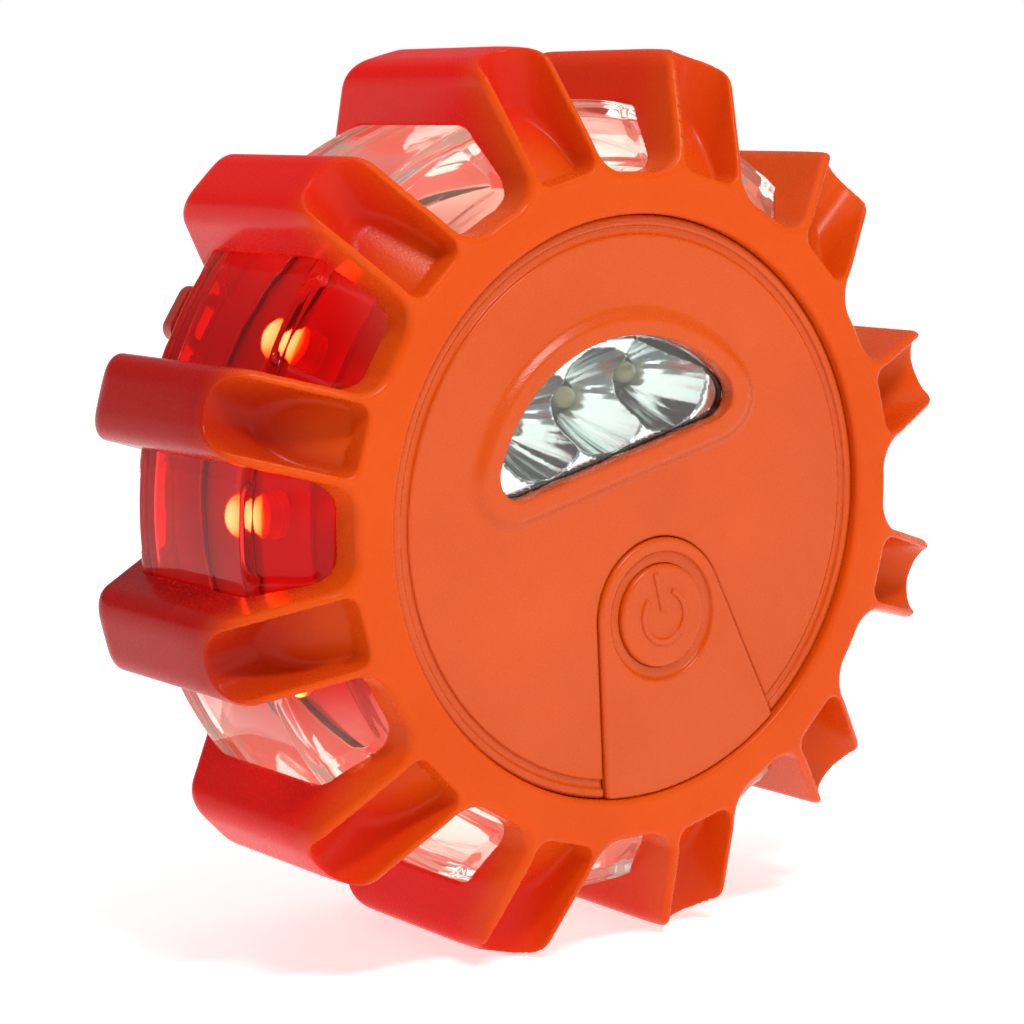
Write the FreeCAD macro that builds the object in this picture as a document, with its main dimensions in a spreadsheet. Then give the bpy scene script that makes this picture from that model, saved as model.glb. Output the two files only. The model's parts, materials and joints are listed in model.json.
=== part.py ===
import FreeCAD, Part
import math
import os
import Sketcher

# LED safety flare: a round road light with a rubber bumper, twelve hollow lugs, a clear lens drum,
# twelve red flashing lights, a white torch on the face, a magnet and a fold-out hanging loop.
#
# Frame: it stands on two lugs, +Z up, the face towards -Y, +X to the right seen from the front.
# The origin is under the middle of the flare, on the surface it stands on.
# Inside each piece, x and z lie in the plane of the face and y is the depth behind the front of the ring.

Vector = FreeCAD.Vector

# Driving dimensions, in millimetres and degrees.
SIZES = {
    # whole flare
    "depth": 44.0,
    "lug_radius": 53.4,
    "lug_count": 12,
    "lug_turn": 15.0,
    "lug_half_width": 4.6,
    "lug_edge_round": 1.4,
    "lug_tip_round": 3.2,
    "nose_front": 6.2,
    "ridge_front": 9.8,
    "ridge_rear": 32.6,
    "tail_rear": 41.6,
    "lug_pocket_half_width": 3.5,
    "lug_pocket_end": 10.6,
    # rubber rings
    "ring_inner": 33.3,
    "ring_outer": 38.0,
    "ring_rebate": 35.2,
    "ring_lip": 2.0,
    "ring_thick": 4.7,
    # lens drum
    "drum_radius": 46.0,
    "drum_wall": 2.0,
    "drum_shoulder": 11.2,
    "drum_mouth": 34.4,
    "drum_front": 4.8,
    # front cover
    "plate_front": 0.8,
    "plate_thick": 2.0,
    "shell_outer": 33.2,
    "shell_wall": 2.0,
    "skirt_end": 9.0,
    "face_turn": 15.0,
    # torch window
    "torch_radius": 19.2,
    "torch_level": 6.3,
    "torch_corner": 4.5,
    "rim_width": 3.5,
    "rim_front": 0.2,
    "rim_bevel": 0.55,
    "cup_spacing": 9.2,
    "cup_height": 12.7,
    "cup_radius": 5.3,
    "cup_back_radius": 1.6,
    # power button
    "button_drop": 12.7,
    "button_radius": 5.95,
    "button_groove": 7.3,
    "button_front": 0.35,
    "tongue_round": 8.7,
    "tongue_top_half": 7.3,
    "tongue_top": 3.7,
    "tongue_foot_half": 13.8,
    "tongue_foot": 34.5,
    # electronics
    "board_front": 12.5,
    "board_thick": 1.6,
    "board_radius": 30.5,
    "led_radius": 2.5,
    "led_base": 34.2,
    "led_tip": 39.8,
    # posts and screws
    "post_side": 13.5,
    "post_reach": 23.8,
    "post_joint": 20.0,
    # battery bay
    "bay_turn": 58.0,
    "bay_half_length": 25.0,
    "bay_half_height": 16.9,
    "bay_corner": 4.0,
    "tray_front": 24.3,
    "cell_radius": 5.2,
    "cell_spacing": 10.7,
    "cell_length": 44.5,
    "cell_depth": 31.2,
    "rear_face": 41.6,
    "rear_plate": 3.0,
    "cover_radius": 31.0,
    "cover_half_height": 19.4,
    "cover_thick": 1.65,
    "cover_screw_side": 28.5,
    "magnet_radius": 12.5,
    "magnet_thick": 3.1,
    # hanging loop
    "hinge_reach": 24.8,
    "hinge_depth": 42.75,
    "loop_end": 41.6,
    "loop_half_width": 3.5,
    "loop_bar": 1.3,
    "loop_thick": 1.8,
    "pin_radius": 0.6,
}

doc = FreeCAD.newDocument("safety_flare")
sheet = doc.addObject("Spreadsheet::Sheet", "sizes")
for row, (alias, number) in enumerate(SIZES.items(), start=1):
    sheet.set(f"A{row}", alias)
    sheet.set(f"B{row}", str(number))
    sheet.setAlias(f"B{row}", alias)
doc.recompute()


class Size:
    """A number together with the spreadsheet expression that it comes from."""

    def __init__(self, number, text):
        self.number = float(number)
        self.text = text

    def combine(self, other, sign, number):
        return Size(number, f"({self.text} {sign} {size(other).text})")

    def __add__(self, other):
        return self.combine(other, "+", self.number + size(other).number)

    def __sub__(self, other):
        return self.combine(other, "-", self.number - size(other).number)

    def __mul__(self, other):
        return self.combine(other, "*", self.number * size(other).number)

    def __truediv__(self, other):
        return self.combine(other, "/", self.number / size(other).number)

    def __neg__(self):
        return Size(-self.number, f"(-1 * {self.text})")

    def __radd__(self, other):
        return size(other) + self

    def __rsub__(self, other):
        return size(other) - self

    def __rmul__(self, other):
        return size(other) * self


def size(value):
    """A Size for a plain number, or the Size itself."""
    return value if isinstance(value, Size) else Size(value, repr(float(value)))


def cell(alias):
    """The Size held by one cell of the spreadsheet."""
    return Size(sheet.get(alias), f"sizes.{alias}")


def cosine(angle):
    return Size(math.cos(math.radians(size(angle).number)), f"cos({size(angle).text} * 1 deg)")


def sine(angle):
    return Size(math.sin(math.radians(size(angle).number)), f"sin({size(angle).text} * 1 deg)")


def bind(item, path, value):
    """Binds a property to the expression of a Size."""
    item.setExpression(path, size(value).text)


def mirrored(depth):
    """The depth of the same feature on the rear half of the flare."""
    return cell("depth") - depth


# ---------------------------------------------------------------- sketches

def pin_point(sketch, geometry, position, x, z):
    """Holds one point of a sketch at (x, z) from the sketch's origin."""
    for kind, axis, value in (("DistanceX", -2, size(x)), ("DistanceY", -1, size(z))):
        if abs(value.number) < 1e-9:
            sketch.addConstraint(Sketcher.Constraint("PointOnObject", geometry, position, axis))
        elif value.number > 0:
            index = sketch.addConstraint(
                Sketcher.Constraint(kind, -1, 1, geometry, position, value.number))
            sketch.setExpression(f"Constraints[{index}]", value.text)
        else:
            index = sketch.addConstraint(
                Sketcher.Constraint(kind, geometry, position, -1, 1, -value.number))
            sketch.setExpression(f"Constraints[{index}]", (-value).text)


def unit(start, end):
    return (end - start).normalize()


def add_outline(sketch, corners):
    """A closed outline through corners (x, z) or (x, z, radius), listed anticlockwise or clockwise."""
    points = [Vector(size(c[0]).number, size(c[1]).number, 0) for c in corners]
    radii = [size(c[2]) if len(c) > 2 else None for c in corners]
    count = len(points)
    starts, ends, centres, lefts = [], [], [], []
    for i, point in enumerate(points):
        before = unit(point, points[i - 1])
        after = unit(point, points[(i + 1) % count])
        left_turn = (before.cross(after)).z < 0
        reach = 0.0
        centre = None
        if radii[i] is not None:
            half = before.getAngle(after) / 2
            reach = radii[i].number / math.tan(half)
            centre = point + (before + after).normalize() * (radii[i].number / math.sin(half))
        starts.append(point + before * reach)
        ends.append(point + after * reach)
        centres.append(centre)
        lefts.append(left_turn)
    lines = [sketch.addGeometry(Part.LineSegment(ends[i], starts[(i + 1) % count]), False)
             for i in range(count)]
    for i in range(count):
        line_in, line_out = lines[i - 1], lines[i]
        if radii[i] is None:
            sketch.addConstraint(Sketcher.Constraint("Coincident", line_in, 2, line_out, 1))
            pin_point(sketch, line_out, 1, corners[i][0], corners[i][1])
            continue
        first, last = (starts[i], ends[i]) if lefts[i] else (ends[i], starts[i])
        angles = [math.atan2(p.y - centres[i].y, p.x - centres[i].x) for p in (first, last)]
        if angles[1] < angles[0]:
            angles[1] += 2 * math.pi
        circle = Part.Circle(centres[i], Vector(0, 0, 1), radii[i].number)
        arc = sketch.addGeometry(Part.ArcOfCircle(circle, angles[0], angles[1]), False)
        corner = sketch.addGeometry(Part.Point(points[i]), True)
        begin, finish = (1, 2) if lefts[i] else (2, 1)
        sketch.addConstraint(Sketcher.Constraint("Tangent", line_in, 2, arc, begin))
        sketch.addConstraint(Sketcher.Constraint("Tangent", line_out, 1, arc, finish))
        index = sketch.addConstraint(Sketcher.Constraint("Radius", arc, radii[i].number))
        sketch.setExpression(f"Constraints[{index}]", radii[i].text)
        sketch.addConstraint(Sketcher.Constraint("PointOnObject", corner, 1, line_in))
        sketch.addConstraint(Sketcher.Constraint("PointOnObject", corner, 1, line_out))
        pin_point(sketch, corner, 1, corners[i][0], corners[i][1])


def add_circle(sketch, x, z, radius):
    centre = Vector(size(x).number, size(z).number, 0)
    ring = sketch.addGeometry(Part.Circle(centre, Vector(0, 0, 1), size(radius).number), False)
    pin_point(sketch, ring, 3, x, z)
    index = sketch.addConstraint(Sketcher.Constraint("Radius", ring, size(radius).number))
    sketch.setExpression(f"Constraints[{index}]", size(radius).text)


def add_segment(sketch, radius, level, corner):
    """The part of a disc about the origin that lies above a level line, with rounded corners."""
    inner = radius.number - corner.number
    rise = level.number + corner.number
    across = math.sqrt(inner ** 2 - rise ** 2)
    tilt = math.atan2(rise, across)
    up = Vector(0, 0, 1)
    dome = sketch.addGeometry(Part.ArcOfCircle(
        Part.Circle(Vector(0, 0, 0), up, radius.number), tilt, math.pi - tilt), False)
    left = sketch.addGeometry(Part.ArcOfCircle(
        Part.Circle(Vector(-across, rise, 0), up, corner.number), math.pi - tilt, 1.5 * math.pi), False)
    right = sketch.addGeometry(Part.ArcOfCircle(
        Part.Circle(Vector(across, rise, 0), up, corner.number), -0.5 * math.pi, tilt), False)
    sill = sketch.addGeometry(Part.LineSegment(
        Vector(-across, level.number, 0), Vector(across, level.number, 0)), False)
    sketch.addConstraint(Sketcher.Constraint("Coincident", dome, 3, -1, 1))
    for first, second in ((dome, left), (left, sill), (sill, right), (right, dome)):
        sketch.addConstraint(Sketcher.Constraint("Tangent", first, 2, second, 1))
    sketch.addConstraint(Sketcher.Constraint("Horizontal", sill))
    for arc, reach in ((dome, radius), (left, corner), (right, corner)):
        index = sketch.addConstraint(Sketcher.Constraint("Radius", arc, reach.number))
        sketch.setExpression(f"Constraints[{index}]", reach.text)
    index = sketch.addConstraint(Sketcher.Constraint("DistanceY", -1, 1, sill, 1, level.number))
    sketch.setExpression(f"Constraints[{index}]", level.text)


# ---------------------------------------------------------------- bodies

nodes = []


def keep(item, label):
    """Marks an object as one sub-part of the flare, under its own label."""
    item.Label = label
    nodes.append(item)
    return item


def stand(item, turn=0):
    """Puts a piece made about the flare's own axis at its place, turned anticlockwise seen from the front."""
    item.Placement = FreeCAD.Placement(Vector(0, 0, 0),
                                       FreeCAD.Rotation(Vector(0, 1, 0), -size(turn).number))
    bind(item, "Placement.Base.y", -(cell("depth") / 2))
    bind(item, "Placement.Base.z", centre_height)


def plane(body, role):
    return next(f for f in body.Origin.OriginFeatures if f.Role == role)


def side_sketch(body, name):
    """A sketch whose x is a distance from the axis and whose y is a depth."""
    sketch = body.newObject("Sketcher::SketchObject", name)
    sketch.AttachmentSupport = [(plane(body, "XY_Plane"), "")]
    sketch.MapMode = "FlatFace"
    return sketch


def face_sketch(body, name, front):
    """A sketch seen from the front, at a depth."""
    sketch = body.newObject("Sketcher::SketchObject", name)
    sketch.AttachmentSupport = [(plane(body, "XZ_Plane"), "")]
    sketch.MapMode = "FlatFace"
    sketch.setExpression("AttachmentOffset.Base.z", (-size(front)).text)
    return sketch


def new_body(name):
    return doc.addObject("PartDesign::Body", name)


def revolve(body, name, corners):
    sketch = side_sketch(body, name + "_profile")
    add_outline(sketch, corners)
    turned = body.newObject("PartDesign::Revolution", name)
    turned.Profile = sketch
    turned.ReferenceAxis = (sketch, ["V_Axis"])
    turned.Angle = 360
    doc.recompute()
    return turned


def pad(body, name, front, back, *drawings):
    """A prism between two depths, over what the drawings add to its sketch."""
    sketch = face_sketch(body, name + "_outline", front)
    for draw in drawings:
        draw(sketch)
    prism = body.newObject("PartDesign::Pad", name)
    prism.Profile = sketch
    prism.Reversed = True
    bind(prism, "Length", size(back) - front)
    doc.recompute()
    return prism


def pocket(body, name, front, back, *drawings):
    """A cut between two depths. It must take something away."""
    before = body.Shape.Volume
    sketch = face_sketch(body, name + "_outline", front)
    for draw in drawings:
        draw(sketch)
    cut = body.newObject("PartDesign::Pocket", name)
    cut.Profile = sketch
    bind(cut, "Length", size(back) - front)
    doc.recompute()
    if not body.Shape.Volume < before - 1e-6:
        raise ValueError(f"{name} cuts nothing")
    return cut


def round_edges(body, name, radius, wanted):
    """Rounds the edges of a body that a test picks."""
    base = body.Tip
    picked = [f"Edge{i}" for i, edge in enumerate(base.Shape.Edges, start=1) if wanted(edge)]
    fillet = body.newObject("PartDesign::Fillet", name)
    fillet.Base = (base, picked)
    bind(fillet, "Radius", radius)
    doc.recompute()
    return fillet


def bevel_edges(body, name, width, wanted):
    """Bevels the edges of a body that a test picks."""
    base = body.Tip
    picked = [f"Edge{i}" for i, edge in enumerate(base.Shape.Edges, start=1) if wanted(edge)]
    bevel = body.newObject("PartDesign::Chamfer", name)
    bevel.Base = (base, picked)
    bind(bevel, "Size", width)
    doc.recompute()
    return bevel


def outline(*corners):
    return lambda sketch: add_outline(sketch, corners)


def circle(x, z, radius):
    return lambda sketch: add_circle(sketch, x, z, radius)


def segment(gap):
    """The outline of the torch window, grown by a gap all round."""
    return lambda sketch: add_segment(
        sketch, cell("torch_radius") + gap, cell("torch_level") - gap, cell("torch_corner") + gap)


def rectangle(half_x, half_z, corner=None):
    rest = () if corner is None else (corner,)
    return outline((-half_x, -half_z) + rest, (half_x, -half_z) + rest,
                   (half_x, half_z) + rest, (-half_x, half_z) + rest)


# ---------------------------------------------------------------- primitives

def cylinder(name, x, z, front, back, radius, angle=360, turn=0):
    """A cylinder along the flare's axis, between two depths. angle leaves a slice, turn says where."""
    item = doc.addObject("Part::Cylinder", name)
    tilt = FreeCAD.Rotation(Vector(1, 0, 0), -90)
    item.Placement = FreeCAD.Placement(Vector(0, 0, 0), tilt * FreeCAD.Rotation(Vector(0, 0, 1), turn))
    bind(item, "Placement.Base.x", x)
    bind(item, "Placement.Base.y", front)
    bind(item, "Placement.Base.z", z)
    bind(item, "Radius", radius)
    bind(item, "Height", size(back) - front)
    item.Angle = angle
    return item


def block(name, x0, x1, y0, y1, z0, z1):
    """A box between two corners."""
    item = doc.addObject("Part::Box", name)
    for path, low in (("x", x0), ("y", y0), ("z", z0)):
        bind(item, f"Placement.Base.{path}", low)
    for path, low, high in (("Length", x0, x1), ("Width", y0, y1), ("Height", z0, z1)):
        bind(item, path, size(high) - low)
    return item


def rod(name, x0, x1, y, z, radius):
    """A cylinder along x."""
    item = doc.addObject("Part::Cylinder", name)
    item.Placement = FreeCAD.Placement(Vector(0, 0, 0), FreeCAD.Rotation(Vector(0, 1, 0), 90))
    bind(item, "Placement.Base.x", x0)
    bind(item, "Placement.Base.y", y)
    bind(item, "Placement.Base.z", z)
    bind(item, "Radius", radius)
    bind(item, "Height", size(x1) - x0)
    return item


def turned_copy(source, name, degrees):
    """A link to a shape, turned about the flare's own axis."""
    link = doc.addObject("App::Link", name)
    link.LinkedObject = source
    link.LinkTransform = True
    link.Placement = FreeCAD.Placement(Vector(0, 0, 0), FreeCAD.Rotation(Vector(0, 1, 0), -degrees))
    return link


def fuse(name, *items):
    joined = doc.addObject("Part::MultiFuse", name)
    joined.Shapes = list(items)
    return joined


def cut(name, base, tool):
    left = doc.addObject("Part::Cut", name)
    left.Base = base
    left.Tool = tool
    return left


def group(name, *items):
    """Separate solids of one kind, kept together as one sub-part."""
    together = doc.addObject("Part::Compound", name)
    together.Links = list(items)
    return together


# The flare stands on the rounded tips of its two lowest lugs.
tip_round = cell("lug_tip_round")
centre_height = ((cell("lug_radius") - tip_round) * cosine(cell("lug_turn"))
                 + (cell("lug_half_width") - tip_round) * sine(cell("lug_turn")) + tip_round)


# ---------------------------------------------------------------- rubber bumper

def make_bumper():
    """Two rings joined by twelve hollow lugs, moulded round the lens drum."""
    reach = cell("lug_radius")
    half = cell("lug_half_width")
    foot = cell("ring_outer") - 2
    lug = new_body("lug")
    profile = side_sketch(lug, "lug_profile")
    add_outline(profile, [
        (foot, 0), (cell("ring_outer") + 2, 0, 8), (reach - 0.8, cell("nose_front"), 3),
        (reach, cell("ridge_front"), 5), (reach, cell("ridge_rear"), 3),
        (cell("ring_outer") + 1.5, cell("tail_rear"), 3), (cell("ring_outer") + 0.2, cell("depth")),
        (foot, cell("depth"))])
    prism = lug.newObject("PartDesign::Pad", "lug_prism")
    prism.Profile = profile
    prism.Midplane = True
    bind(prism, "Length", half * 2)
    doc.recompute()

    def on_outer_rim(edge):
        middle = edge.CenterOfMass
        return abs(abs(middle.z) - half.number) < 1e-3 and middle.x > foot.number + 2

    round_edges(lug, "lug_rounding", cell("lug_edge_round"), on_outer_rim)
    pocket(lug, "lug_tip", -1, cell("depth") + 1,
           outline((foot - 6, -10), (reach + 5, -10), (reach + 5, 10), (foot - 6, 10)),
           outline((foot - 4, -half), (reach, -half, tip_round), (reach, half, tip_round), (foot - 4, half)))

    well = side_sketch(lug, "well_profile")
    well_foot = cell("ring_outer") + 0.6
    add_outline(well, [
        (well_foot, -5), (well_foot, 3.2, 1), (cell("drum_radius") + 0.4, cell("lug_pocket_end") - 0.2, 1),
        (reach + 5, cell("lug_pocket_end")), (reach + 5, -5)])
    before = lug.Shape.Volume
    hollow = lug.newObject("PartDesign::Pocket", "lug_well")
    hollow.Profile = well
    hollow.Midplane = True
    bind(hollow, "Length", cell("lug_pocket_half_width") * 2)
    doc.recompute()
    if not lug.Shape.Volume < before:
        raise ValueError("lug_well cuts nothing")

    lugs = [turned_copy(lug, f"lug_{k}", SIZES["lug_turn"] + k * 360 / SIZES["lug_count"])
            for k in range(SIZES["lug_count"])]
    rings = new_body("rings")
    revolve(rings, "front_ring", [
        (cell("ring_inner"), 0, 0.6), (cell("ring_outer"), 0), (cell("ring_outer"), cell("ring_thick")),
        (cell("ring_rebate"), cell("ring_thick")), (cell("ring_rebate"), cell("ring_lip")),
        (cell("ring_inner"), cell("ring_lip"))])
    rear = new_body("rear_ring_body")
    revolve(rear, "rear_ring", [
        (cell("ring_inner"), mirrored(0), 0.6), (cell("ring_outer"), mirrored(0)),
        (cell("ring_outer"), mirrored(cell("ring_thick"))),
        (cell("ring_rebate"), mirrored(cell("ring_thick"))),
        (cell("ring_rebate"), mirrored(cell("ring_lip"))),
        (cell("ring_inner"), mirrored(cell("ring_lip")))])
    space = new_body("drum_space")
    gap = 0.05
    shoulder = cell("drum_shoulder")
    radius = cell("drum_radius") + gap
    revolve(space, "drum_space_turned", [
        (0, cell("drum_front") - 0.1), (cell("ring_outer") + 0.5, cell("drum_front") - 0.1),
        (radius, shoulder - gap, 3), (radius, mirrored(shoulder) + gap, 3),
        (cell("ring_outer") + 0.5, mirrored(cell("drum_front")) + 0.1),
        (0, mirrored(cell("drum_front")) + 0.1)])
    # A slot through the rear ring lets the hanging loop lie flush.
    slot = block("loop_slot", -(cell("loop_half_width") + 0.4), cell("loop_half_width") + 0.4,
                 cell("rear_face") + 0.1, cell("depth") + 1, cell("ring_inner") - 1, cell("ring_outer") + 4)
    turned_slot = turned_copy(slot, "loop_slot_turned", SIZES["bay_turn"])
    bumper = cut("bumper", fuse("bumper_blank", rings, rear, *lugs),
                 fuse("bumper_spaces", space, turned_slot))
    keep(bumper, "rubber_bumper")
    stand(bumper)


# ---------------------------------------------------------------- front of the case

def tongue_corners(gap=0):
    """The tongue that widens from around the button down to the ring."""
    top, foot = cell("tongue_top"), cell("tongue_foot")
    return outline(
        (-(cell("tongue_foot_half") + gap), -foot), (cell("tongue_foot_half") + gap, -foot),
        (cell("tongue_top_half") + gap, -(top - gap), cell("tongue_round")),
        (-(cell("tongue_top_half") + gap), -(top - gap), cell("tongue_round")))


def post_places():
    """The four screw posts, seen in the battery bay's frame."""
    side, reach = cell("post_side"), cell("post_reach")
    return [(side, reach), (-side, reach), (-side, -reach), (side, -reach)]


def turned_point(x, z, degrees):
    """A point turned anticlockwise about the axis, seen from the front."""
    return (x * cosine(degrees) - z * sine(degrees), x * sine(degrees) + z * cosine(degrees))


def on_rim(edge):
    """True for the outer edge round the front of the torch window's rim."""
    box = edge.BoundBox
    return box.YLength < 1e-3 and abs(box.YMin - SIZES["rim_front"]) < 1e-3


def make_front_cover():
    body = new_body("front_cover_body")
    outer, wall = cell("shell_outer"), cell("shell_wall")
    front = cell("plate_front")
    back = front + cell("plate_thick")
    flange = cell("ring_rebate") - 0.1
    revolve(body, "cover_turned", [
        (0, front), (outer, front, 0.4), (outer, cell("ring_lip") + 0.1), (flange, cell("ring_lip") + 0.1),
        (flange, cell("drum_front") - 0.1), (outer, cell("drum_front") - 0.1), (outer, cell("skirt_end")),
        (outer - wall, cell("skirt_end")), (outer - wall, back), (0, back)])
    pad(body, "torch_rim", cell("rim_front"), front + 0.5, segment(cell("rim_width")))
    bevel_edges(body, "rim_bevel", cell("rim_bevel"), on_rim)
    pocket(body, "torch_opening", -1, back + 1, segment(0))
    pocket(body, "edge_groove", -1, front + 0.35,
           circle(0, 0, cell("ring_inner") * 0.965), circle(0, 0, cell("ring_inner") * 0.93))
    sockets = [turned_point(x, z, cell("bay_turn") - cell("face_turn")) for x, z in post_places()]
    neck = cell("board_front") - 0.1
    pad(body, "post_shoulders", back - 0.5, neck, *[circle(x, z, 3.0 + 0.7) for x, z in sockets])
    pad(body, "post_necks", neck - 0.5, cell("post_joint") - 0.05, *[circle(x, z, 2.8) for x, z in sockets])
    pocket(body, "tongue_recess", -1, 1.7, tongue_corners(0.1))
    pocket(body, "button_hole", 0, back + 0.2, circle(0, -cell("button_drop"), cell("button_radius") + 0.25))
    pocket(body, "pilot_holes", 8.0, cell("post_joint") + 1, *[circle(x, z, 1.25) for x, z in sockets])
    keep(body, "front_cover")
    stand(body, cell("face_turn"))


def make_button():
    """The soft tongue, the moving button in it, and the switch behind."""
    drop, groove = cell("button_drop"), cell("button_groove")
    front, radius = cell("button_front"), cell("button_radius")
    surround = new_body("surround_body")
    pad(surround, "tongue", front, 1.65, tongue_corners())
    pocket(surround, "tongue_foot_trim", -1, 3, circle(0, 0, cell("shell_outer")), circle(0, 0, 60))
    pocket(surround, "button_well", -1, 1.1, circle(0, -drop, groove))
    pocket(surround, "button_way", 0, 3, circle(0, -drop, radius + 0.08))
    keep(surround, "button_surround")
    stand(surround, cell("face_turn"))

    back = cell("plate_front") + cell("plate_thick")
    seat = cell("board_front") - 0.05
    stem_end = seat - 5.0
    arc = cut("symbol_ring",
              cylinder("symbol_outer", 0, -drop, front - 0.3, front + 0.2, 3.35, angle=290, turn=-55),
              cylinder("symbol_inner", 0, -drop, front - 0.5, front + 0.5, 2.65))
    bar = block("symbol_bar", -0.35, 0.35, front - 0.3, front + 0.2, -drop + 0.7, -drop + 5.2)
    button = fuse("button",
                  cylinder("button_cap", 0, -drop, front, back + 0.3, radius),
                  cylinder("button_flange", 0, -drop, back + 0.15, back + 0.9, radius + 1.2),
                  cylinder("button_stem", 0, -drop, back + 0.5, stem_end, 2.0), arc, bar)
    keep(button, "power_button")
    stand(button, cell("face_turn"))

    top = seat - 3.4
    plunger = cylinder("plunger", 0, -drop, stem_end + 0.05, top + 0.9, 1.7)
    keep(plunger, "switch_plunger")
    stand_primitive(plunger, 0, -drop, stem_end + 0.05, cell("face_turn"))
    housing = cut("switch_housing",
                  block("switch_block", -3.1, 3.1, top, seat, -drop - 3.1, -drop + 3.1),
                  cylinder("switch_bore", 0, -drop, top - 1, top + 1.7, 1.77))
    keep(housing, "switch_body")
    stand(housing, cell("face_turn"))


def stand_primitive(item, x, z, front, turn):
    """Puts a primitive at its place in the whole flare, about the flare's turned axis."""
    tilt = FreeCAD.Rotation(Vector(0, 1, 0), -size(turn).number)
    item.Placement = FreeCAD.Placement(Vector(0, 0, 0), tilt * FreeCAD.Rotation(Vector(1, 0, 0), -90))
    across, up = turned_point(x, z, turn)
    bind(item, "Placement.Base.x", across)
    bind(item, "Placement.Base.y", size(front) - cell("depth") / 2)
    bind(item, "Placement.Base.z", up + centre_height)


def make_torch():
    """A clear window, a chrome reflector with three cups, and three white lights."""
    back = cell("plate_front") + cell("plate_thick")
    lens = new_body("torch_lens_body")
    pad(lens, "torch_pane", back + 0.05, back + 1.5, segment(1.2))
    keep(lens, "torch_lens")
    stand(lens, cell("face_turn"))

    block_front, block_back = back + 1.55, cell("board_front") - 1.0
    blank = new_body("reflector_blank")
    pad(blank, "reflector_prism", block_front, block_back, segment(1.2))
    cups, lights = [], []
    for k in (-1, 0, 1):
        x, z = cell("cup_spacing") * k, cell("cup_height")
        cup = doc.addObject("Part::Cone", f"cup_{k + 2}")
        cup.Placement = FreeCAD.Placement(Vector(0, 0, 0), FreeCAD.Rotation(Vector(1, 0, 0), -90))
        bind(cup, "Placement.Base.x", x)
        bind(cup, "Placement.Base.y", block_front - 0.5)
        bind(cup, "Placement.Base.z", z)
        bind(cup, "Radius1", cell("cup_radius"))
        bind(cup, "Radius2", cell("cup_back_radius"))
        bind(cup, "Height", block_back - block_front + 1.0)
        cups.append(cup)
        barrel = cylinder(f"white_barrel_{k + 2}", x, z, block_back - 0.9, cell("board_front") - 0.05, 1.3)
        dome = doc.addObject("Part::Sphere", f"white_dome_{k + 2}")
        bind(dome, "Radius", 1.3)
        bind(dome, "Placement.Base.x", x)
        bind(dome, "Placement.Base.y", block_back - 0.9)
        bind(dome, "Placement.Base.z", z)
        lights.append(fuse(f"white_light_{k + 2}", barrel, dome))
    reflector = cut("reflector", blank, fuse("cups", *cups))
    keep(reflector, "torch_reflector")
    stand(reflector, cell("face_turn"))
    white = group("white_lights", *lights)
    keep(white, "white_leds")
    stand(white, cell("face_turn"))


# ---------------------------------------------------------------- electronics

def make_boards():
    front = cell("board_front")
    back = front + cell("board_thick")
    turn = cell("bay_turn")
    board = new_body("board_body")
    pad(board, "board_disc", front, back, circle(0, 0, cell("board_radius")))
    pocket(board, "post_notches", front - 1, back + 1, *[circle(x, z, 2.9) for x, z in post_places()])
    keep(board, "main_board")
    stand(board, turn)

    parts = [block("control_chip", -4.5, 4.5, back + 0.05, back + 1.7, -3, 3)]
    spots = [(-14, 6), (-14, -6), (12, 8), (12, -8), (0, 12), (0, -12), (-8, 16), (8, -18)]
    for k, (x, z) in enumerate(spots):
        parts.append(block(f"chip_part_{k}", x - 1.6, x + 1.6, back + 0.05, back + 0.9, z - 0.8, z + 0.8))
    small = group("small_parts", *parts)
    keep(small, "board_components")
    stand(small, turn)

    middle = cell("depth") / 2
    strip = new_body("strip_body")
    revolve(strip, "strip", [(cell("shell_outer") + 0.1, middle - 7), (cell("led_base") - 0.1, middle - 7),
                             (cell("led_base") - 0.1, middle + 7), (cell("shell_outer") + 0.1, middle + 7)])
    keep(strip, "led_ring_board")
    stand(strip)

    radius = cell("led_radius")
    lamp = fuse("red_light",
                rod("red_flange", cell("led_base"), cell("led_base") + 1, middle, 0, radius + 0.4),
                rod("red_barrel", cell("led_base") + 0.5, cell("led_tip") - radius, middle, 0, radius),
                dome_at("red_dome", cell("led_tip") - radius, middle, radius))
    lamps = [turned_copy(lamp, f"red_light_{k}", k * 360 / SIZES["lug_count"])
             for k in range(SIZES["lug_count"])]
    red = group("red_lights", *lamps)
    keep(red, "red_leds")
    stand(red)


def dome_at(name, x, y, radius):
    dome = doc.addObject("Part::Sphere", name)
    bind(dome, "Radius", radius)
    bind(dome, "Placement.Base.x", x)
    bind(dome, "Placement.Base.y", y)
    return dome


# ---------------------------------------------------------------- lens drum and seals

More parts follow.
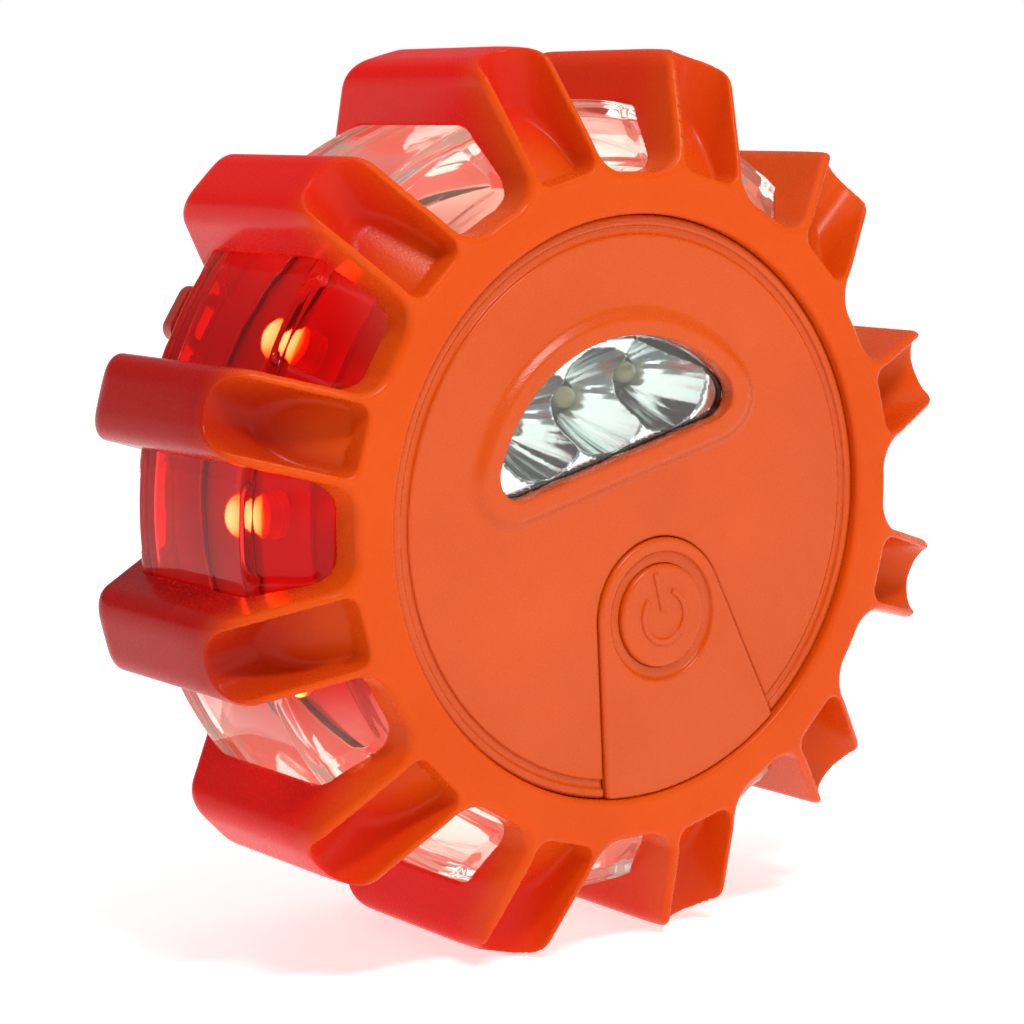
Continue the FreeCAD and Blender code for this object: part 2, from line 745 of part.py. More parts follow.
def make_drum():
    """The clear drum, moulded as a front and a rear half that meet in the middle."""
    wall = cell("drum_wall")
    middle = cell("depth") / 2
    outer, mouth = cell("drum_radius"), cell("drum_mouth")
    foot, shoulder = cell("ring_outer") + 0.4, cell("drum_shoulder")

    def half(depth_of):
        near = cell("drum_front")
        return [
            (mouth, depth_of(near)), (foot, depth_of(near)), (outer, depth_of(shoulder), 3),
            (outer, depth_of(middle - 0.02)), (outer - wall, depth_of(middle - 0.02)),
            (outer - wall, depth_of(shoulder + 0.8), 1), (foot - 0.8, depth_of(near + wall)),
            (mouth, depth_of(near + wall))]

    for name, depth_of in (("front_lens", lambda d: d), ("rear_lens", mirrored)):
        body = new_body(name + "_body")
        revolve(body, name + "_turned", half(depth_of))
        keep(body, name)
        stand(body)
    for name, depth in (("front_seal", 5.8), ("rear_seal", mirrored(5.8))):
        ring = doc.addObject("Part::Torus", name + "_ring")
        keep(ring, name)
        ring.Placement = FreeCAD.Placement(Vector(0, 0, 0), FreeCAD.Rotation(Vector(1, 0, 0), -90))
        bind(ring, "Placement.Base.y", size(depth) - cell("depth") / 2)
        bind(ring, "Placement.Base.z", centre_height)
        bind(ring, "Radius1", (cell("shell_outer") + mouth) / 2)
        bind(ring, "Radius2", (mouth - cell("shell_outer")) / 2 - 0.02)


# ---------------------------------------------------------------- rear of the case

def cover_outline(gap=0):
    """A disc with two flats above and below."""
    def draw(sketch):
        radius, level = cell("cover_radius") + gap, cell("cover_half_height") + gap
        across = math.sqrt(radius.number ** 2 - level.number ** 2)
        angle = math.atan2(level.number, across)
        disc = Part.Circle(Vector(0, 0, 0), Vector(0, 0, 1), radius.number)
        right = sketch.addGeometry(Part.ArcOfCircle(disc, -angle, angle), False)
        left = sketch.addGeometry(Part.ArcOfCircle(disc, math.pi - angle, math.pi + angle), False)
        top = sketch.addGeometry(Part.LineSegment(Vector(across, level.number, 0),
                                                  Vector(-across, level.number, 0)), False)
        low = sketch.addGeometry(Part.LineSegment(Vector(-across, -level.number, 0),
                                                  Vector(across, -level.number, 0)), False)
        for first, second in ((right, top), (top, left), (left, low), (low, right)):
            sketch.addConstraint(Sketcher.Constraint("Coincident", first, 2, second, 1))
        for arc in (right, left):
            sketch.addConstraint(Sketcher.Constraint("Coincident", arc, 3, -1, 1))
            index = sketch.addConstraint(Sketcher.Constraint("Radius", arc, radius.number))
            sketch.setExpression(f"Constraints[{index}]", radius.text)
        for line in (top, low):
            sketch.addConstraint(Sketcher.Constraint("Horizontal", line))
        index = sketch.addConstraint(Sketcher.Constraint("DistanceY", -1, 1, top, 1, level.number))
        sketch.setExpression(f"Constraints[{index}]", level.text)
        index = sketch.addConstraint(Sketcher.Constraint("DistanceY", low, 1, -1, 1, level.number))
        sketch.setExpression(f"Constraints[{index}]", level.text)
    return draw


def seal_ring(gap):
    """The rectangular ring of the battery seal, grown by a gap."""
    length, height, corner = cell("bay_half_length"), cell("bay_half_height"), cell("bay_corner")

    def draw(sketch):
        rectangle(length + 1.5 + gap, height + 1.5 + gap, corner + 1.2)(sketch)
        rectangle(length + 0.4 - gap, height + 0.4 - gap, corner + 0.1)(sketch)
    return draw


def make_rear_shell():
    """The core that carries the red lights, closed by the rear plate."""
    body = new_body("rear_shell_body")
    outer, wall = cell("shell_outer"), cell("shell_wall")
    flange = cell("ring_rebate") - 0.1
    rear = cell("rear_face")
    inside = rear - cell("rear_plate")
    revolve(body, "shell_turned", [
        (outer - wall, cell("skirt_end") + 0.1), (outer, cell("skirt_end") + 0.1),
        (outer, mirrored(cell("drum_front")) + 0.1), (flange, mirrored(cell("drum_front")) + 0.1),
        (flange, rear), (0, rear), (0, inside), (outer - wall, inside)])
    pocket(body, "bay_opening", inside - 1, rear + 1,
           rectangle(cell("bay_half_length"), cell("bay_half_height"), cell("bay_corner")))
    ledge = rear - cell("cover_thick") - 0.05
    pocket(body, "cover_seat", ledge, rear + 1, cover_outline(0.1))
    pocket(body, "seal_groove", ledge - 0.6, ledge + 0.01, seal_ring(0.05))
    places = post_places()
    joint = cell("post_joint") + 0.05
    pad(body, "screw_posts", joint, inside + 0.5, *[circle(x, z, 3.2) for x, z in places])
    pocket(body, "screw_holes", joint - 1, rear + 1, *[circle(x, z, 1.6) for x, z in places])
    pocket(body, "head_wells", joint + 6, rear + 1, *[circle(x, z, 2.7) for x, z in places])
    side = cell("cover_screw_side")
    pad(body, "cover_bosses", inside - 7, inside + 0.5, circle(side, 0, 2.3), circle(-side, 0, 2.3))
    pocket(body, "cover_pilots", inside - 6, rear, circle(side, 0, 1.0), circle(-side, 0, 1.0))
    hinge = cell("hinge_reach")
    for name, way in (("left_ear", -1), ("right_ear", 1)):
        pad(body, name, rear - 0.5, cell("hinge_depth") + 1.1,
            outline((4.1 * way, hinge - 1.6), (5.9 * way, hinge - 1.6),
                    (5.9 * way, hinge + 1.6), (4.1 * way, hinge + 1.6)))
    bored = cut("rear_shell_bored", body,
                rod("hinge_bore", -8, 8, cell("hinge_depth"), hinge, cell("pin_radius")))
    keep(bored, "rear_shell")
    stand(bored, cell("bay_turn"))


def make_battery_bay():
    turn = cell("bay_turn")
    front, inside = cell("tray_front"), cell("rear_face") - cell("rear_plate")
    length, height, corner = cell("bay_half_length"), cell("bay_half_height"), cell("bay_corner")
    tray = new_body("tray_body")
    pad(tray, "tray_blank", front, inside - 0.05, rectangle(length + 0.9, height + 0.9, corner))
    pocket(tray, "tray_hollow", front + 1.2, inside + 1, rectangle(length - 0.1, height - 0.1, 1.5))
    keep(tray, "battery_tray")
    stand(tray, turn)

    radius, spacing, depth = cell("cell_radius"), cell("cell_spacing"), cell("cell_depth")
    nub_end = length - 0.55
    far_end = nub_end - cell("cell_length")
    springs, plates = [], []
    for k in (-1, 0, 1):
        way = 1 if k % 2 == 0 else -1
        z = spacing * k
        can = (far_end, nub_end - 1.0) if way > 0 else (1.0 - nub_end, -far_end)
        nub = (nub_end - 1.0, nub_end) if way > 0 else (-nub_end, 1.0 - nub_end)
        battery = fuse(f"battery_{k + 2}_solid", rod(f"can_{k + 2}", can[0], can[1], depth, z, radius),
                       rod(f"nub_{k + 2}", nub[0], nub[1], depth, z, 1.9))
        keep(battery, f"battery_{k + 2}")
        stand(battery, turn)
        coil = doc.addObject("Part::Helix", f"coil_path_{k + 2}")
        coil.Pitch = 1.2
        coil.Height = 3.6
        coil.Radius = 2.6
        coil.SegmentLength = 0.5
        doc.recompute()
        wire = doc.addObject("Part::Circle", f"coil_wire_{k + 2}")
        wire.Radius = 0.3
        wire.Placement = FreeCAD.Placement(Vector(2.6, 0, 0), FreeCAD.Rotation(Vector(1, 0, 0), 90))
        spring = doc.addObject("Part::Sweep", f"coil_{k + 2}")
        spring.Sections = [wire]
        spring.Spine = (coil, [f"Edge{i + 1}" for i in range(len(coil.Shape.Edges))])
        spring.Solid = True
        spring.Frenet = True
        spring.Placement = FreeCAD.Placement(Vector(0, 0, 0), FreeCAD.Rotation(Vector(0, 1, 0), 90 * way))
        bind(spring, "Placement.Base.x", -(length - 0.8) * way)
        bind(spring, "Placement.Base.y", depth)
        bind(spring, "Placement.Base.z", z)
        springs.append(spring)
        for side in (-1, 1):
            low, high = sorted([side * (length.number - 0.15), side * (length.number - 0.45)])
            plates.append(block(f"plate_{k + 2}_{side + 1}", low, high,
                                depth - 4.5, depth + 4.5, z - 4.5, z + 4.5))
    coils = group("coils", *springs)
    keep(coils, "contact_springs")
    stand(coils, turn)
    contacts = group("contacts", *plates)
    keep(contacts, "contact_plates")
    stand(contacts, turn)

    board_back = cell("board_front") + cell("board_thick")
    leads = group("leads",
                  cylinder("lead_plus", 18, 10, board_back + 0.05, front - 0.05, 0.6),
                  cylinder("lead_minus", -18, -10, board_back + 0.05, front - 0.05, 0.6))
    keep(leads, "battery_leads")
    stand(leads, turn)


def make_battery_cover():
    turn = cell("bay_turn")
    rear = cell("rear_face")
    front = rear - cell("cover_thick")
    side = cell("cover_screw_side")
    magnet_front = cell("depth") - cell("magnet_thick")
    body = new_body("cover_body")
    pad(body, "cover_plate", front, rear, cover_outline())
    pad(body, "magnet_wall", rear - 0.3, cell("depth") - 0.4, circle(0, 0, cell("magnet_radius") + 1.5))
    seat = circle(0, 0, cell("magnet_radius") + 0.1)
    pocket(body, "magnet_seat", magnet_front - 0.05, cell("depth") + 1, seat)
    pocket(body, "cover_holes", front - 1, rear + 1, circle(side, 0, 1.3), circle(-side, 0, 1.3))
    keep(body, "battery_cover")
    stand(body, turn)

    disc = cylinder("magnet_disc", 0, 0, magnet_front, cell("depth"), cell("magnet_radius"))
    keep(disc, "magnet")
    stand_primitive(disc, 0, 0, magnet_front, 0)

    inside = rear - cell("rear_plate")
    gasket = new_body("gasket_body")
    pad(gasket, "gasket_ring", front - 0.6, front - 0.02, seal_ring(0))
    keep(gasket, "battery_seal")
    stand(gasket, turn)

    def screw(name, x, z, head_front, head_radius, head, shank_end, shank_radius):
        return fuse(name,
                    cylinder(name + "_head", x, z, head_front, size(head_front) + head, head_radius),
                    cylinder(name + "_shank", x, z, shank_end, size(head_front) + 0.2, shank_radius))

    covers = [screw(f"cover_screw_{k}", side * k, 0, rear + 0.02, 2.3, 1.4, inside - 5, 0.95)
              for k in (-1, 1)]
    cover_screws = group("cover_screw_pair", *covers)
    keep(cover_screws, "battery_cover_screws")
    stand(cover_screws, turn)
    head_front = cell("post_joint") + 6.07
    long_screws = [screw(f"case_screw_{k}", x, z, head_front, 2.5, 2.0, 9.0, 1.2)
                   for k, (x, z) in enumerate(post_places())]
    case_screws = group("case_screw_set", *long_screws)
    keep(case_screws, "case_screws")
    stand(case_screws, turn)


def make_loop():
    """The flat hanging loop, and the pin that it folds on."""
    turn = cell("bay_turn")
    hinge, depth = cell("hinge_reach"), cell("hinge_depth")
    half, bar = cell("loop_half_width"), cell("loop_bar")
    low = depth - cell("loop_thick") / 2
    high = depth + cell("loop_thick") / 2
    frame = new_body("loop_frame")
    pad(frame, "loop_plate", low, high,
        outline((-half, hinge), (half, hinge), (half, cell("loop_end"), 1.6), (-half, cell("loop_end"), 1.6)))
    pocket(frame, "loop_gap", low - 1, high + 1,
           outline((-(half - bar), hinge + 2.2, 0.5), (half - bar, hinge + 2.2, 0.5),
                   (half - bar, cell("loop_end") - bar, 0.6), (-(half - bar), cell("loop_end") - bar, 0.6)))
    barrel = rod("loop_barrel", -(half + 0.4), half + 0.4, depth, hinge, 1.05)
    bored = cut("loop_bored", fuse("loop_blank", frame, barrel),
                rod("loop_bore", -8, 8, depth, hinge, cell("pin_radius") + 0.06))
    keep(bored, "hanging_loop")
    stand(bored, turn)
    pin = rod("pin", -6.0, 6.0, depth, hinge, cell("pin_radius"))
    keep(pin, "loop_pin")
    across, up = turned_point(size(-6.0), hinge, turn)
    tilt = FreeCAD.Rotation(Vector(0, 1, 0), -turn.number)
    pin.Placement = FreeCAD.Placement(Vector(0, 0, 0), tilt * FreeCAD.Rotation(Vector(0, 1, 0), 90))
    bind(pin, "Placement.Base.x", across)
    bind(pin, "Placement.Base.y", depth - cell("depth") / 2)
    bind(pin, "Placement.Base.z", up + centre_height)


make_bumper()
make_front_cover()
make_button()
make_torch()
make_boards()
make_drum()
make_rear_shell()
make_battery_bay()
make_battery_cover()
make_loop()
doc.recompute()

for item in doc.Objects:
    if "Invalid" in item.State or "Error" in item.State:
        raise ValueError(f"{item.Label} did not build: {item.State}")
for node in nodes:
    if node.Shape.isNull() or not node.Shape.isValid():
        raise ValueError(f"{node.Label} has no valid shape")

os.makedirs("parts", exist_ok=True)
for node in nodes:
    node.Shape.exportStep(f"parts/{node.Label}.step")
    print(f"{node.Label:22s} {len(node.Shape.Solids):3d} solids {node.Shape.Volume:10.1f} mm3")
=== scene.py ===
import bpy
import json
import math
import numpy as np
import openvdb
from mathutils import Matrix, Vector


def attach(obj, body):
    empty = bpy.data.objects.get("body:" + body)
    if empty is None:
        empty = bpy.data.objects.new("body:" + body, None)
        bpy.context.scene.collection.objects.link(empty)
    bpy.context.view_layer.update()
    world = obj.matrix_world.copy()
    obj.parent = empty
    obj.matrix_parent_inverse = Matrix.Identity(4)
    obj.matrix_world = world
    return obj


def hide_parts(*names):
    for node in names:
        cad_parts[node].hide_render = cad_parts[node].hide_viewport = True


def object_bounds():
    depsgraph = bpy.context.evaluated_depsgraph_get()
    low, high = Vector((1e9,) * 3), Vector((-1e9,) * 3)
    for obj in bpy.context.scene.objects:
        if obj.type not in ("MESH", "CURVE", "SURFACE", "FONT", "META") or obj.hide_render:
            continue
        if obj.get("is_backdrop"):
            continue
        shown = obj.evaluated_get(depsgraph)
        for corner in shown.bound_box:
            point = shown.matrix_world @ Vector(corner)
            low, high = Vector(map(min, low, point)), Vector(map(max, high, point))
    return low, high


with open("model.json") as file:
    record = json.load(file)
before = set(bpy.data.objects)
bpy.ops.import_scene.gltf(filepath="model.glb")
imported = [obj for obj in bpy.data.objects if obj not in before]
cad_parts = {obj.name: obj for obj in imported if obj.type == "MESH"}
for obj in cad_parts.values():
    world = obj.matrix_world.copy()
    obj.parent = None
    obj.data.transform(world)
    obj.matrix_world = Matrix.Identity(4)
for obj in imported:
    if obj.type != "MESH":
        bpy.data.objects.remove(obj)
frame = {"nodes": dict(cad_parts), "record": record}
cad_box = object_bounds()
nodes = frame["nodes"]

MM = 0.001
CENTRE = (cad_box[1][2] + cad_box[0][2]) / 2 / MM      # height of the flare's axis above the floor, mm

# ---------------------------------------------------------------- dimensions, in mm
# A point of a profile is (distance from the axis, depth behind the front of the ring).

DEPTH = 44.0
LUG_PITCH = math.radians(30)
FACE_TURN = math.radians(15)              # the face is turned anticlockwise by half a lug
BAY_TURN = math.radians(58)               # and the back, with the hanging loop

RING_BORE = 33.3                          # radius of the opening in the rings
RING_RADIUS = 38.0                        # and of their outside, between the lugs
LUG_HALF = 5.0                            # half a lug's width
LUG_OUT = 53.3                            # the flat end of a lug
LUG_FOOT, LUG_NOSE = (40.0, 0.0), (52.6, 6.2)
RIDGE_RADIUS = 53.35                      # the crown of the lugs
RIDGE_FRONT, RIDGE_REAR = (RIDGE_RADIUS, 9.8), (RIDGE_RADIUS, 32.6)
REAR_FOOT = (39.5, 41.6)
WELL_HALF = 4.0                           # half the width of the hollow in a lug
WELL_END = 5.6                            # depth of the centre of its round end
WELL_START = 38.5                         # where its mouth begins
WELL_FLOOR = ((46.9, 10.6), (40.0, 4.5))
WELL_CROWN = 0.03                         # how fast the floor falls away to its sides

DRUM_RADIUS = 46.0
DRUM_SHOULDER = 11.2                      # depth at which the shoulder meets the cylinder
DRUM_RIM, DRUM_FRONT = 38.4, 4.8          # where the shoulder starts
DRUM_ROOM = 0.05                          # clearance between the drum and the bumper

PLATE_RADIUS = 33.2                       # the face
TORCH_CENTRE, TORCH_RADIUS = (-0.5, 0.4), 19.5
TORCH_SILL, TORCH_CORNER = 6.3, 4.7       # height of the straight lower edge, radius of its corners
CUP_PITCH, CUP_HEIGHT, CUP_RADIUS = 9.2, 12.7, 5.9
CUP_FRONT, MIRROR_BACK = 3.0, 11.5
BUTTON = (0.45, -13.1)                    # the button's centre on the face
BUTTON_RADIUS = 5.98
TONGUE_RADIUS = 9.0
LEAN_SINE, LEAN_COSINE = 0.208, 0.978     # of the 12 degrees by which the tongue's sides lean

SCREW_OUT = 28.5                          # the rear screws, from the axis
COVER_SCREWS = [(SCREW_OUT * way * math.cos(BAY_TURN), SCREW_OUT * way * math.sin(BAY_TURN))
                for way in (1, -1)]

BUMPER_SPAN, FACE_SPAN = 53.0, 35.3       # half the boxes in which these two are meshed

# ---------------------------------------------------------------- camera, lights, floor

CAMERA_SWING, CAMERA_RISE = math.radians(36.29), math.radians(7.61)
CAMERA_BACK, CAMERA_LEFT, CAMERA_DOWN = 10.042, 0.4370, 0.0063      # in radii of the ring's opening
LIGHT_AIM = (0, 0, 0.05)                  # metres
FLOOR_HALF = 30.0                         # metres
# Brightness of the studio from straight below (0) over the horizon (0.5) to straight above (1).
WORLD_STOPS = [(0.0, 1.0), (0.545, 1.0), (0.60, 0.20), (0.86, 0.22), (1.0, 1.0)]
OVERHEAD_START, OVERHEAD = 0.7, 1.7       # where it brightens further, and by how much straight above


def add_camera():
    """A long lens to the flare's left, a little above its axis."""
    swing, rise = CAMERA_SWING, CAMERA_RISE
    back = Vector((-math.sin(swing) * math.cos(rise), -math.cos(swing) * math.cos(rise), math.sin(rise)))
    right = Vector((math.cos(swing), -math.sin(swing), 0))
    up = back.cross(right)
    place = Vector((0, -DEPTH / 2, CENTRE))
    for axis, radii in ((back, CAMERA_BACK), (right, -CAMERA_LEFT), (up, -CAMERA_DOWN)):
        place += axis * (radii * RING_BORE)
    data = bpy.data.cameras.new("camera")
    data.lens = 104.1
    data.sensor_width = 36
    data.clip_start = 0.01
    camera = bpy.data.objects.new("camera", data)
    turn = Matrix((right, up, back)).transposed().to_4x4()
    camera.matrix_world = Matrix.Translation(place * MM) @ turn
    bpy.context.scene.collection.objects.link(camera)
    bpy.context.scene.camera = camera


def add_light(name, place, size, power):
    """A rectangular lamp, in metres and watts, turned to the flare."""
    data = bpy.data.lights.new(name, "AREA")
    data.shape = "RECTANGLE"
    data.size, data.size_y = size
    data.energy = power
    lamp = bpy.data.objects.new(name, data)
    lamp.location = place
    lamp.rotation_euler = (Vector(LIGHT_AIM) - Vector(place)).to_track_quat("-Z", "Y").to_euler()
    bpy.context.scene.collection.objects.link(lamp)


def add_world():
    """A white studio with a dimmer band above the horizon."""
    world = bpy.data.worlds.new("studio")
    bpy.context.scene.world = world
    world.use_nodes = True
    tree = world.node_tree
    background = tree.nodes["Background"]
    sky = tree.nodes.new("ShaderNodeTexCoord")
    split = tree.nodes.new("ShaderNodeSeparateXYZ")
    tree.links.new(sky.outputs["Generated"], split.inputs["Vector"])
    height = tree.nodes.new("ShaderNodeMapRange")
    height.inputs["From Min"].default_value = -1
    height.inputs["From Max"].default_value = 1
    tree.links.new(split.outputs["Z"], height.inputs["Value"])
    stops = [(place, (level,) * 3) for place, level in WORLD_STOPS]
    tree.links.new(ramp(tree, height.outputs["Result"], stops), background.inputs["Color"])
    lift = tree.nodes.new("ShaderNodeMapRange")
    lift.inputs["From Min"].default_value = OVERHEAD_START
    lift.inputs["To Min"].default_value = 1.0
    lift.inputs["To Max"].default_value = OVERHEAD
    tree.links.new(split.outputs["Z"], lift.inputs["Value"])
    tree.links.new(lift.outputs["Result"], background.inputs["Strength"])


def add_floor():
    """A white floor that gives off some light of its own, so that it stays white in the dim band."""
    mesh = bpy.data.meshes.new("floor")
    corners = [(x * FLOOR_HALF, y * FLOOR_HALF, 0) for x, y in ((-1, -1), (1, -1), (1, 1), (-1, 1))]
    mesh.from_pydata(corners, [], [(0, 1, 2, 3)])
    floor = bpy.data.objects.new("floor", mesh)
    bpy.context.scene.collection.objects.link(floor)
    white, _, shader = new_material("floor_white")
    shader.inputs["Base Color"].default_value = (0.80, 0.80, 0.80, 1)
    shader.inputs["Roughness"].default_value = 0.7
    shader.inputs["Emission Color"].default_value = (1, 1, 1, 1)
    shader.inputs["Emission Strength"].default_value = 0.62
    mesh.materials.append(white)
    floor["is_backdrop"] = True


def add_stage():
    bpy.context.scene.view_settings.view_transform = "Standard"
    add_world()
    add_light("key", (-0.10, -0.52, 0.78), (0.30, 0.07), 4.5)
    add_light("fill", (0.35, -0.85, 0.30), (0.3, 0.3), 0.6)
    add_floor()


# ---------------------------------------------------------------- material nodes

def new_material(name):
    made = bpy.data.materials.new(name)
    made.use_nodes = True
    tree = made.node_tree
    return made, tree, tree.nodes["Principled BSDF"]


def noise(tree, scale, detail=3.0):
    """Noise over the object's own coordinates, in features per metre."""
    place = tree.nodes.new("ShaderNodeTexCoord")
    texture = tree.nodes.new("ShaderNodeTexNoise")
    texture.inputs["Scale"].default_value = scale
    texture.inputs["Detail"].default_value = detail
    tree.links.new(place.outputs["Object"], texture.inputs["Vector"])
    return texture.outputs["Fac"]


def ramp(tree, source, stops):
    """Maps a value to colours, given as (position, colour)."""
    mapped = tree.nodes.new("ShaderNodeValToRGB")
    while len(mapped.color_ramp.elements) < len(stops):
        mapped.color_ramp.elements.new(0.5)
    for element, (position, colour) in zip(mapped.color_ramp.elements, stops):
        element.position = position
        element.color = (*colour, 1)
    tree.links.new(source, mapped.inputs["Fac"])
    return mapped.outputs["Color"]


def tint(tree, shader, socket, mask, unlit, lit):
    """Takes a colour socket from one colour to another along a mask."""
    tree.links.new(ramp(tree, mask, [(0.0, unlit), (1.0, lit)]), shader.inputs[socket])


def roughen(tree, shader, patches, low, high):
    """Varies the roughness by a noise."""
    stops = [(0.3, (low,) * 3), (0.7, (high,) * 3)]
    tree.links.new(ramp(tree, patches, stops), shader.inputs["Roughness"])


def bump(tree, shader, heights, distance):
    """Raises the surface by a height field of the given depth in metres."""
    node = tree.nodes.new("ShaderNodeBump")
    node.inputs["Distance"].default_value = distance
    tree.links.new(heights, node.inputs["Height"])
    tree.links.new(node.outputs["Normal"], shader.inputs["Normal"])


def masked(tree, axis, start, end):
    """0 before start and 1 past end along one axis of the object, in metres."""
    place = tree.nodes.new("ShaderNodeTexCoord")
    split = tree.nodes.new("ShaderNodeSeparateXYZ")
    span = tree.nodes.new("ShaderNodeMapRange")
    span.interpolation_type = "SMOOTHSTEP"
    span.inputs["From Min"].default_value = start
    span.inputs["From Max"].default_value = end
    tree.links.new(place.outputs["Object"], split.inputs["Vector"])
    tree.links.new(split.outputs[axis], span.inputs["Value"])
    return span.outputs["Result"]


def combine(tree, operation, a, b):
    node = tree.nodes.new("ShaderNodeMath")
    node.operation = operation
    tree.links.new(a, node.inputs[0])
    tree.links.new(b, node.inputs[1])
    return node.outputs["Value"]


# ---------------------------------------------------------------- materials
# The three lamps on the left are lit. Painted light and shade: lit and unlit colours and painted glows:

# Rubber: a painted deeper red for the shade and light on the left, and a painted red glow.
RUBBER_PAINTED_RED_SHADE, RUBBER_PAINTED_GLOW = (0.33, 0.005, 0.003), (1.0, 0.012, 0.008)
# Drum: painted red light on the left and a painted glow.
DRUM_COLOUR, DRUM_PAINTED_RED = (1.0, 0.86, 0.82), (0.85, 0.04, 0.03)
DRUM_PAINTED_GLOW, DRUM_PAINTED_RED_GLOW = (1.0, 0.55, 0.42), (0.66, 0.006, 0.004)
# Strip: painted red light on the left and a painted glow.
STRIP_COLOUR, STRIP_PAINTED_RED = (0.85, 0.70, 0.62), (0.45, 0.012, 0.010)
STRIP_PAINTED_GLOW, STRIP_PAINTED_RED_GLOW = (0.9, 0.50, 0.38), (0.6, 0.008, 0.004)
LAMP_GLOWS = [(0.0, (0.004, 0.0, 0.0)), (0.25, (0.5, 0.01, 0.0)),
              (0.6, (1.0, 0.25, 0.02)), (1.0, (1.0, 0.8, 0.35))]
LAMP_BASE, LAMP_TIP = 0.0372, 0.0400      # a dome's foot and tip, from the flare's centre, metres


def painted_inner_glow(tree, shader, strength):
    """A painted red glow on the rubber behind the front ring, standing in for red light from the lamps on the
    left shining through it.

    Gives back how far the painted light reaches, from 0 to 1."""
    reach = combine(tree, "MULTIPLY", masked(tree, "X", 0.032, -0.012), masked(tree, "Y", -0.0195, -0.010))
    above = masked(tree, "Z", CENTRE * MM + 0.014, CENTRE * MM + 0.040)
    below = masked(tree, "Z", CENTRE * MM - 0.014, CENTRE * MM - 0.040)
    level = tree.nodes.new("ShaderNodeMapRange")
    level.inputs["To Min"].default_value = 0.15
    tree.links.new(combine(tree, "MAXIMUM", above, below), level.inputs["Value"])
    lit = combine(tree, "MULTIPLY", reach, level.outputs["Result"])
    tint(tree, shader, "Emission Color", lit, (0, 0, 0), RUBBER_PAINTED_GLOW)
    shader.inputs["Emission Strength"].default_value = strength
    return reach


def moulded(name, dark, light, rough, grain_scale, grain_depth, soft=0.0, blotch=45.0, gloss=0.5, painted_glow=0.0):
    """Moulded plastic or rubber: slight colour clouds, a fine grain, uneven gloss."""
    made, tree, shader = new_material(name)
    colour = ramp(tree, noise(tree, blotch, 4.0), [(0.3, dark), (0.7, light)])
    # Painted shade and light: on the left the colour turns a deeper red and the rubber gets a painted red
    # glow.
    if painted_glow:
        mix = tree.nodes.new("ShaderNodeMix")
        mix.data_type = "RGBA"
        tree.links.new(painted_inner_glow(tree, shader, painted_glow), mix.inputs["Factor"])
        tree.links.new(colour, mix.inputs["A"])
        mix.inputs["B"].default_value = (*RUBBER_PAINTED_RED_SHADE, 1)
        colour = mix.outputs["Result"]
    tree.links.new(colour, shader.inputs["Base Color"])
    grain = noise(tree, grain_scale, 2.0)
    roughen(tree, shader, grain, *rough)
    bump(tree, shader, grain, grain_depth)
    shader.inputs["Specular IOR Level"].default_value = gloss
    if soft:
        shader.inputs["Subsurface Weight"].default_value = soft
        shader.inputs["Subsurface Radius"].default_value = (1.0, 0.25, 0.08)
        shader.inputs["Subsurface Scale"].default_value = 0.004
    return made


def black(name, dark, light, rough):
    """Black moulded plastic or rubber, with grey levels for its clouds."""
    return moulded(name, (dark,) * 3, (light,) * 3, rough, 1200.0, 0.00001)


def clear(name, index, wobble):
    """Clear moulded plastic with a faintly wavy surface."""
    made, tree, shader = new_material(name)
    shader.inputs["Base Color"].default_value = (1, 1, 1, 1)
    shader.inputs["Transmission Weight"].default_value = 1.0
    shader.inputs["IOR"].default_value = index
    flow = noise(tree, 260.0, 2.0)
    roughen(tree, shader, flow, 0.02, 0.08)
    bump(tree, shader, flow, wobble)
    return made, tree, shader


def clear_drum(name):
    """Clear plastic with painted red light on the left for the lit lamps behind it, less so low down, and a
    painted glow all over.
    """
    made, tree, shader = clear(name, 1.24, 0.00003)
    side = masked(tree, "X", -0.022, -0.036)
    lit = combine(tree, "MULTIPLY", side, masked(tree, "Z", (CENTRE - 29) * MM, (CENTRE - 12) * MM))
    tint(tree, shader, "Base Color", lit, DRUM_COLOUR, DRUM_PAINTED_RED)
    # Painted glow: the clear plastic gives off light though it is no lamp, red on the left.
    tint(tree, shader, "Emission Color", lit, DRUM_PAINTED_GLOW, DRUM_PAINTED_RED_GLOW)
    shader.inputs["Emission Strength"].default_value = 0.09
    return made


def lamp_red(name, strength):
    """Clear red domes. The three on the left are lit, with a yellow-white core at the tip."""
    made, tree, shader = new_material(name)
    shader.inputs["Base Color"].default_value = (0.9, 0.02, 0.01, 1)
    shader.inputs["Roughness"].default_value = 0.12
    place = tree.nodes.new("ShaderNodeTexCoord")
    out = tree.nodes.new("ShaderNodeVectorMath")
    out.operation = "DISTANCE"
    out.inputs[1].default_value = (0, 0, CENTRE * MM)
    tree.links.new(place.outputs["Object"], out.inputs[0])
    span = tree.nodes.new("ShaderNodeMapRange")
    span.inputs["From Min"].default_value = LAMP_BASE
    span.inputs["From Max"].default_value = LAMP_TIP
    tree.links.new(out.outputs["Value"], span.inputs["Value"])
    lit = combine(tree, "MULTIPLY", span.outputs["Result"], masked(tree, "X", -0.024, -0.028))
    tree.links.new(ramp(tree, lit, LAMP_GLOWS), shader.inputs["Emission Color"])
    shader.inputs["Emission Strength"].default_value = strength
    bump(tree, shader, noise(tree, 500.0), 0.00001)
    return made


def lamp_white(name):
    """Yellow phosphor under a clear dome: slightly uneven, glossy."""
    made = moulded(name, (0.34, 0.31, 0.08), (0.44, 0.41, 0.13), (0.12, 0.20), 700.0, 0.00001, blotch=900.0)
    made.node_tree.nodes["Principled BSDF"].inputs["Coat Weight"].default_value = 0.6
    return made


